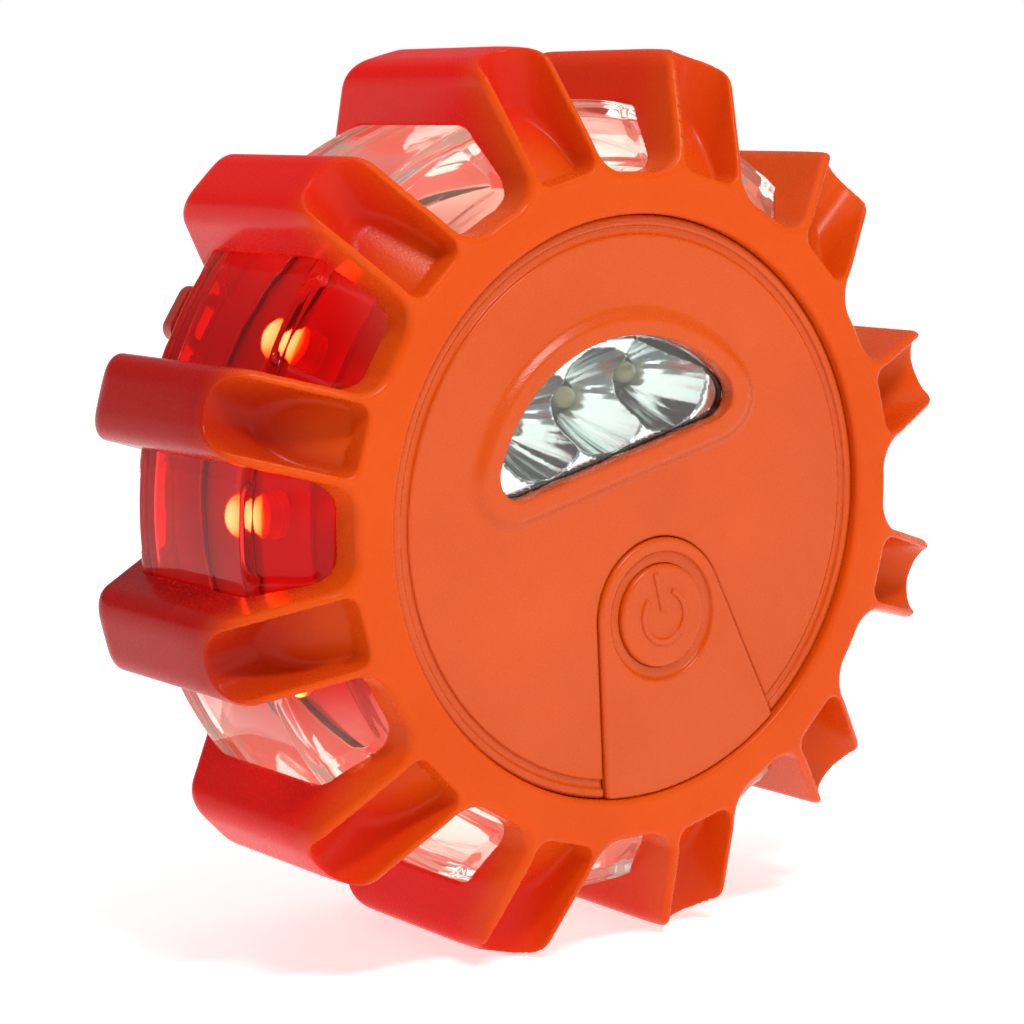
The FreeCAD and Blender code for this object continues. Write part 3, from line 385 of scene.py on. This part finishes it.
def strip_white(name):
    """White solder mask with painted red light on the left for the lit lamps, and a painted glow all over."""
    made, tree, shader = new_material(name)
    lit = masked(tree, "X", -0.006, -0.024)
    tint(tree, shader, "Base Color", lit, STRIP_COLOUR, STRIP_PAINTED_RED)
    # Painted glow: the solder mask gives off light though it is no lamp, red on the left.
    tint(tree, shader, "Emission Color", lit, STRIP_PAINTED_GLOW, STRIP_PAINTED_RED_GLOW)
    shader.inputs["Emission Strength"].default_value = 0.35
    grain = noise(tree, 900.0)
    roughen(tree, shader, grain, 0.35, 0.45)
    bump(tree, shader, grain, 0.00001)
    return made


def metal(name, colour, roughness, scale=900.0):
    """Plated metal, duller in small patches."""
    made, tree, shader = new_material(name)
    shader.inputs["Base Color"].default_value = (*colour, 1)
    shader.inputs["Metallic"].default_value = 1.0
    wear = noise(tree, scale)
    roughen(tree, shader, wear, roughness, roughness + 0.12)
    bump(tree, shader, wear, 0.00001)
    return made


# ---------------------------------------------------------------- solids from distance fields
# Lengths in mm. x and z lie in the face, d is the depth behind the front of the ring.

def s_min(a, b, radius):
    """Union with a round inside corner."""
    reach = np.hypot(np.maximum(radius - a, 0), np.maximum(radius - b, 0))
    return np.maximum(radius, np.minimum(a, b)) - reach


def s_max(a, b, radius):
    """Intersection with a round edge."""
    return -s_min(-a, -b, radius)


def bend(a, b, width):
    """Intersection of two faces that meet at a shallow angle, eased over a width."""
    ease = np.maximum(width - np.abs(a - b), 0)
    return np.maximum(a, b) + ease ** 2 / (4 * width)


def beyond(p, q, start, end):
    """Distance outside the line from start to end, with the solid on its left."""
    along = np.array(end, float) - np.array(start, float)
    along /= np.hypot(*along)
    return (p - start[0]) * along[1] - (q - start[1]) * along[0]


def add_piece(name, mesh, material):
    piece = bpy.data.objects.new(name, mesh)
    bpy.context.scene.collection.objects.link(piece)
    mesh.materials.append(material)
    return piece


def slope(field, points):
    """The field's gradient at some points, and its size."""
    reach = 0.02
    columns = []
    for k in range(3):
        shift = np.zeros(3)
        shift[k] = reach
        ahead, behind = (points + shift).T, (points - shift).T
        columns.append(field(*ahead) - field(*behind))
    gradient = np.stack(columns, 1) / (2 * reach)
    return gradient, np.linalg.norm(gradient, axis=1, keepdims=True) + 1e-9


def solid(name, field, low, high, step, material):
    """A mesh of the zero surface of a field, drawn onto that surface and shaded with its slope."""
    band, passes, longest = 4 * step, 3, 0.6 * step
    axes = [np.arange(a - 2 * step, b + 2.5 * step, step) for a, b in zip(low, high)]
    values = np.empty([len(axis) for axis in axes], np.float32)
    for i, x in enumerate(axes[0]):
        values[i] = field(np.full((1, 1), x), axes[1][:, None], axes[2][None, :])
    grid = openvdb.FloatGrid(band)
    grid.copyFromArray(np.clip(values, -band, band))
    points, quads = grid.convertToQuads(0.0)
    points = points.astype(float) * step + [axis[0] for axis in axes]
    for _ in range(passes):
        gradient, size = slope(field, points)
        shift = -field(*points.T)[:, None] * gradient / size ** 2
        points += np.clip(shift, -longest, longest)
    gradient, size = slope(field, points)
    placed = (points + [0, -DEPTH / 2, CENTRE]) * MM
    mesh = bpy.data.meshes.new(name)
    mesh.vertices.add(len(placed))
    mesh.vertices.foreach_set("co", placed.astype(np.float32).ravel())
    mesh.loops.add(len(quads) * 4)
    mesh.loops.foreach_set("vertex_index", quads.astype(np.int32).ravel())
    mesh.polygons.add(len(quads))
    mesh.polygons.foreach_set("loop_start", np.arange(0, len(quads) * 4, 4, dtype=np.int32))
    mesh.update(calc_edges=True)
    mesh.validate()
    mesh.polygons.foreach_set("use_smooth", np.ones(len(mesh.polygons), bool))
    mesh.normals_split_custom_set_from_vertices((gradient / size).astype(np.float32))
    return add_piece(name, mesh, material)


# ---------------------------------------------------------------- bumper

def drum_outside(rho, d):
    """The hollow that holds the lens drum."""
    wall = DRUM_RADIUS + DRUM_ROOM
    front = beyond(rho, d, (DRUM_RIM, DRUM_FRONT), (wall, DRUM_SHOULDER))
    rear = beyond(rho, d, (wall, DEPTH - DRUM_SHOULDER), (DRUM_RIM, DEPTH - DRUM_FRONT))
    shell = bend(bend(rho - wall, front, 1.0), rear, 1.0)
    flat = np.maximum(DRUM_FRONT - d, d - (DEPTH - DRUM_FRONT))
    return np.maximum(shell, flat) - DRUM_ROOM


def lug_well(side, out, d):
    """The hollow of a lug, open to the front and outwards, with a rounded end on the ridge."""
    end = np.hypot(side, d - WELL_END) - WELL_HALF
    trough = np.where(d > WELL_END, end, side - WELL_HALF)
    floor = beyond(out, d, *WELL_FLOOR) - WELL_CROWN * side ** 2
    mouth = s_max(WELL_START - out, side - WELL_HALF, 1.6)
    return np.maximum(s_max(trough, floor, 0.9), mouth)


def loop_slot(x, d, z):
    """The slot in the rear ring that the hanging loop lies in."""
    half, floor, start = 3.9, 41.7, 30
    across = -x * math.cos(BAY_TURN) - z * math.sin(BAY_TURN)
    along = -x * math.sin(BAY_TURN) + z * math.cos(BAY_TURN)
    return np.maximum(np.maximum(np.abs(across) - half, floor - d), start - along)


def bumper_field(x, d, z):
    """Two rings and the twelve lugs that bridge the drum."""
    rho = np.hypot(x, z)
    turn = np.mod(np.arctan2(z, x), LUG_PITCH) - LUG_PITCH / 2
    out, side = rho * np.cos(turn), np.abs(rho * np.sin(turn))
    star = s_min(rho - RING_RADIUS, side - LUG_HALF, 3.0)
    star = s_max(star, out - LUG_OUT, 3.2)
    front = bend(-d, beyond(rho, d, LUG_FOOT, LUG_NOSE), 1.2)
    front = bend(front, beyond(rho, d, LUG_NOSE, RIDGE_FRONT), 1.2)
    ridge = bend(rho - RIDGE_RADIUS, beyond(rho, d, RIDGE_REAR, REAR_FOOT), 1.6)
    rest = np.maximum(s_min(ridge, rho - RING_RADIUS, 1.5), d - DEPTH)
    body = s_max(star, bend(front, rest, 0.8), 0.9)
    body = s_max(body, RING_BORE - rho, 0.6)
    body = s_max(body, -drum_outside(rho, d), 0.3)
    body = s_max(body, -lug_well(side, out, d), 0.35)
    return s_max(body, -loop_slot(x, d, z), 0.3)


# ---------------------------------------------------------------- face

def on_face(x, z):
    """Coordinates turned with the face."""
    c, s = math.cos(FACE_TURN), math.sin(FACE_TURN)
    return x * c + z * s, z * c - x * s


def torch_outline(u, v):
    """Distance outside the torch window: a round top over a straight sill, with round corners."""
    dome = np.hypot(u - TORCH_CENTRE[0], v - TORCH_CENTRE[1]) - TORCH_RADIUS
    return s_max(dome, TORCH_SILL - v, TORCH_CORNER)


def tongue_outline(u, v):
    """Distance outside the tongue that holds the button."""
    side, rise = np.abs(u - BUTTON[0]), v - BUTTON[1]
    past = side * LEAN_SINE - rise * LEAN_COSINE
    straight = side * LEAN_COSINE + rise * LEAN_SINE
    return np.where(past > 0, straight, np.hypot(side, rise)) - TONGUE_RADIUS


def cover_field(x, d, z):
    """The face: a plate with a groove near its edge, the torch's rim, the tongue's seat and a skirt."""
    front, back, groove, groove_floor, rim_front = 1.0, 2.8, 31.55, 1.4, 0.05
    rho = np.hypot(x, z)
    u, v = on_face(x, z)
    window = torch_outline(u, v)
    plate = s_max(rho - PLATE_RADIUS, front - d, 0.4)
    channel = s_max(np.abs(rho - groove) - 0.5, d - groove_floor, 0.2)
    plate = s_max(plate, -channel, 0.2)
    bevel = ((window - 1.9) * 0.95 - (d - rim_front) * 1.2) / 1.53
    rim = np.maximum(bend(rim_front - d, bevel, 0.3), window - 3.6)
    body = s_min(plate, rim, 0.25)
    seat = np.maximum(tongue_outline(u, v) - 0.1, d - 1.7)
    body = s_max(body, -seat, 0.3)
    body = s_max(body, -window, 0.35)
    body = np.maximum(body, d - back)
    skirt = np.maximum(np.maximum(rho - PLATE_RADIUS, 31.2 - rho), np.abs(d - 5.5) - 3.5)
    body = np.minimum(body, skirt)
    hole = np.hypot(u - BUTTON[0], v - BUTTON[1]) - 6.2
    return np.maximum(body, -hole)


def tongue_field(x, d, z):
    """The tongue, with a shallow dish and a hole for the button."""
    front, back, dish_radius, dish_floor, hole = 0.6, 1.65, 7.4, 1.15, 6.03
    u, v = on_face(x, z)
    button = np.hypot(u - BUTTON[0], v - BUTTON[1])
    slab = s_max(s_max(tongue_outline(u, v), front - d, 0.5), d - back, 0.1)
    slab = s_max(slab, np.hypot(x, z) - PLATE_RADIUS, 0.1)
    dish = s_max(button - dish_radius, d - dish_floor, 0.4)
    slab = s_max(slab, -dish, 0.35)
    return np.maximum(slab, hole - button)


def power_symbol(u, rise):
    """Distance outside an open ring with a bar in its gap."""
    ring, gap = 3.0, math.radians(36)
    angle = np.abs(np.arctan2(u, rise))
    arc = np.maximum(np.abs(np.hypot(u, rise) - ring) - 0.34, (gap - angle) * ring)
    bar = np.maximum(np.abs(u) - 0.36, np.abs(rise - 2.95) - 2.25)
    return np.minimum(arc, bar)


def button_field(x, d, z):
    """The button: a cap with a raised symbol, a flange behind the face and a stem to the switch."""
    u, v = on_face(x, z)
    u, rise = u - BUTTON[0], v - BUTTON[1]
    radius = np.hypot(u, rise)
    cap = s_max(s_max(radius - BUTTON_RADIUS, 0.45 - d, 0.5), d - 3.1, 0.1)
    flange = np.maximum(radius - 7.15, np.abs(d - 3.3) - 0.35)
    stem = np.maximum(radius - 2.0, np.abs(d - 5.3) - 2.15)
    symbol = s_max(power_symbol(u, rise), 0.12 - d, 0.2)
    symbol = np.maximum(symbol, d - 0.9)
    return np.minimum(np.minimum(s_min(cap, symbol, 0.12), flange), stem)


def reflector_field(x, d, z):
    """The torch's mirror: one block with three faceted parabolic cups."""
    u, v = on_face(x, z)
    block = np.maximum(np.maximum(torch_outline(u, v) + 0.05, CUP_FRONT - d), d - MIRROR_BACK)
    mouth = CUP_RADIUS * np.sqrt(np.clip(1.02 - (d - CUP_FRONT) / 9.0, 0.05, 1.5))
    for k in (-1, 0, 1):
        across, up = u - CUP_PITCH * k, v - CUP_HEIGHT
        facets = 1 + 0.025 * np.abs(np.sin(5 * np.arctan2(up, across)))
        cup = np.hypot(across, up) - mouth * facets
        block = s_max(block, -cup, 0.06)
    return block


def pane_field(x, d, z):
    """The torch's clear window, with softened edges."""
    middle, half = 2.4, 0.5
    return s_max(torch_outline(*on_face(x, z)) + 0.03, np.abs(d - middle) - half, 0.2)


# ---------------------------------------------------------------- rear screws

def screw_field(centre, turn):
    """A pan-head screw with a cross recess, its head to the rear."""
    top, seat, recess_floor, head_radius, shank_radius = 43.0, 41.65, 42.0, 2.25, 0.93

    def field(x, d, z):
        across, up = x - centre[0], z - centre[1]
        radius = np.hypot(across, up)
        dome = d - top + 0.09 * radius ** 2
        head = s_max(s_max(radius - head_radius, seat - d, 0.1), dome, 0.3)
        a = np.abs(across * math.cos(turn) + up * math.sin(turn))
        b = np.abs(up * math.cos(turn) - across * math.sin(turn))
        arms = np.maximum(np.minimum(a, b) - 0.32, np.maximum(a, b) - 1.3 + 0.5 * (top - d))
        head = s_max(head, -np.maximum(arms, recess_floor - d), 0.08)
        shank = np.maximum(radius - shank_radius, np.abs(d - 37.7) - 4.05)
        return np.minimum(head, shank)

    return field


# ---------------------------------------------------------------- lens drum

def spin(name, profile, turns, material, shape):
    """A closed mesh of revolution about the flare's axis. shape moves points by their angle."""
    radii, depths = np.array(profile, float).T
    rho, theta = np.meshgrid(radii, np.arange(turns) * 2 * math.pi / turns)
    rho, d = shape(rho, np.tile(depths, (turns, 1)), theta)
    points = np.stack([rho * np.cos(theta), d - DEPTH / 2, rho * np.sin(theta) + CENTRE], -1) * MM
    count = len(profile)
    i, j = np.meshgrid(np.arange(turns), np.arange(count), indexing="ij")
    ahead, over = (i + 1) % turns, (j + 1) % count
    quads = np.stack([i * count + j, i * count + over, ahead * count + over, ahead * count + j], -1)
    mesh = bpy.data.meshes.new(name)
    mesh.from_pydata(points.reshape(-1, 3).tolist(), [], quads.reshape(-1, 4).tolist())
    mesh.polygons.foreach_set("use_smooth", np.ones(len(mesh.polygons), bool))
    return add_piece(name, mesh, material)


def drum_profile():
    """The drum's wall: shoulders, a cylinder, and a flange at each end."""
    flange, round_radius, join = 34.4, 2.0, 21.9
    rise, run = DRUM_RADIUS - DRUM_RIM, DRUM_SHOULDER - DRUM_FRONT
    front = [(flange, DRUM_FRONT), (DRUM_RIM, DRUM_FRONT)]
    front += [(DRUM_RIM + rise * t, DRUM_FRONT + run * t) for t in np.linspace(0.02, 0.78, 30)]
    front += [(DRUM_RADIUS - round_radius + round_radius * math.sin(t), 11.3 - 1.9 * math.cos(t))
              for t in np.linspace(0.70, 1.57, 10)]
    front += [(DRUM_RADIUS, d) for d in np.linspace(11.6, join, 14)]
    inside = [(flange, 6.8), (37.6, 6.8), (43.6, 12.0), (43.9, 12.5), (44.0, 13.2), (44.0, join)]
    rear = [(r, DEPTH - d) for r, d in front[::-1]]
    inside_rear = [(r, DEPTH - d) for r, d in inside]
    return front + rear + inside_rear + inside[::-1]


def window_steps(rho, d, theta):
    """A shallow rounded-rectangle step on both shoulders behind each window."""
    height, middle, half_width, half_length = 0.35, 8.3, 5.2, 2.6
    turn = np.mod(theta + LUG_PITCH / 2, LUG_PITCH) - LUG_PITCH / 2
    depth = np.minimum(d, DEPTH - d)
    box = s_max(np.abs(rho * turn) - half_width, np.abs(depth - middle) - half_length, 1.4)
    outside = (rho > 38.5) & (rho - DRUM_RIM > (depth - DRUM_FRONT) * 0.8) & (depth < 12.5)
    step = height * np.clip(0.5 - box / height, 0, 1) * outside
    return rho - step * 0.7, d + step * 0.7 * np.where(d < DEPTH / 2, 1, -1)


# ---------------------------------------------------------------- making

# The bumper's rubber carries a painted red glow and a painted deeper red shade on its left.
orange = moulded("orange_rubber", (0.62, 0.066, 0.003), (0.68, 0.080, 0.005), (0.20, 0.30), 3200.0, 0.000018,
                 soft=0.2, gloss=0.09, painted_glow=0.40)
cover_orange = moulded("orange_cover", (0.58, 0.068, 0.004), (0.64, 0.082, 0.006), (0.20, 0.30), 4200.0,
                       0.00003, soft=0.1, gloss=0.25)
add_camera()
add_stage()
finishes = {
    "bumper_rubber": orange,
    "orange_plastic": cover_orange,
    "soft_orange": cover_orange,
    "clear_pane": clear("clear_pane", 1.49, 0.00001)[0],
    "reflector_chrome": metal("reflector_chrome", (0.80, 0.87, 0.84), 0.06),
    "white_light": lamp_white("white_light"),
    "board_green": moulded("board_green", (0.02, 0.12, 0.04), (0.03, 0.16, 0.06), (0.3, 0.4), 900.0, 0.00001),
    "component_black": black("component_black", 0.02, 0.03, (0.5, 0.6)),
    "plunger_plastic": black("plunger_plastic", 0.03, 0.05, (0.4, 0.5)),
    "clear_drum": clear_drum("clear_drum"),
    "strip_white": strip_white("strip_white"),
    "red_light": lamp_red("red_light", 30.0),
    "seal_black": black("seal_black", 0.02, 0.03, (0.5, 0.6)),
    "tray_black": black("tray_black", 0.02, 0.03, (0.5, 0.6)),
    "battery_can": moulded("battery_can", (0.05, 0.06, 0.09), (0.06, 0.07, 0.1), (0.3, 0.4), 300.0, 0.00001),
    "contact_steel": metal("contact_steel", (0.75, 0.75, 0.74), 0.25),
    "lead_red": moulded("lead_red", (0.5, 0.02, 0.02), (0.55, 0.03, 0.02), (0.4, 0.5), 900.0, 0.00001),
    "magnet_steel": metal("magnet_steel", (0.34, 0.35, 0.37), 0.3, 400.0),
    "screw_steel": metal("screw_steel", (0.62, 0.62, 0.63), 0.3),
    "loop_red": moulded("loop_red", (0.45, 0.03, 0.015), (0.5, 0.04, 0.02), (0.35, 0.45), 1500.0, 0.00002),
}
stood_for = set()


def stand_in(piece, slot, body, *replaced):
    """The piece stands for these CAD nodes and rides on their body."""
    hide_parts(*replaced)
    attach(piece, body)
    stood_for.update(replaced)


def make(name, field, low, high, step, slot, body, replaced):
    """A stand-in for one CAD node, meshed from a field between two corners (x, d, z)."""
    stand_in(solid(name, field, low, high, step, finishes[slot]), slot, body, replaced)


make("bumper", bumper_field, (-BUMPER_SPAN, 0, -BUMPER_SPAN), (BUMPER_SPAN, DEPTH, BUMPER_SPAN), 0.42,
     "bumper_rubber", "case", "rubber_bumper")
make("face_cover", cover_field, (-FACE_SPAN, 0, -FACE_SPAN), (FACE_SPAN, 9, FACE_SPAN), 0.3,
     "orange_plastic", "case", "front_cover")
make("button_tongue", tongue_field, (-10, 0, -34), (25, 2, 0), 0.2, "soft_orange", "case", "button_surround")
make("power_key", button_field, (-5, 0, -21), (12, 7.5, -4), 0.12, "soft_orange", "button", "power_button")
make("torch_mirror", reflector_field, (-20, 4, 0), (15, 11.6, 22), 0.25,
     "reflector_chrome", "case", "torch_reflector")
make("torch_pane", pane_field, (-20, 1.5, 0), (15, 3.2, 22), 0.25, "clear_pane", "case", "torch_lens")
for k, (x, z) in enumerate(COVER_SCREWS, start=1):
    make(f"cover_screw_{k}", screw_field((x, z), 0.4 * k), (x - 2.4, 33.5, z - 2.4), (x + 2.4, 43.1, z + 2.4),
         0.11, "screw_steel", "case", "battery_cover_screws")
drum = spin("drum", drum_profile(), 720, finishes["clear_drum"], window_steps)
stand_in(drum, "clear_drum", "case", "front_lens", "rear_lens")

for part in frame["record"]["subparts"]:
    if part["node"] not in stood_for:
        kept = nodes[part["node"]].data.materials
        kept.clear()
        kept.append(finishes[part["material_slot"]])

[[list(map(float, corner)) for corner in box] for box in (cad_box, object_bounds())]
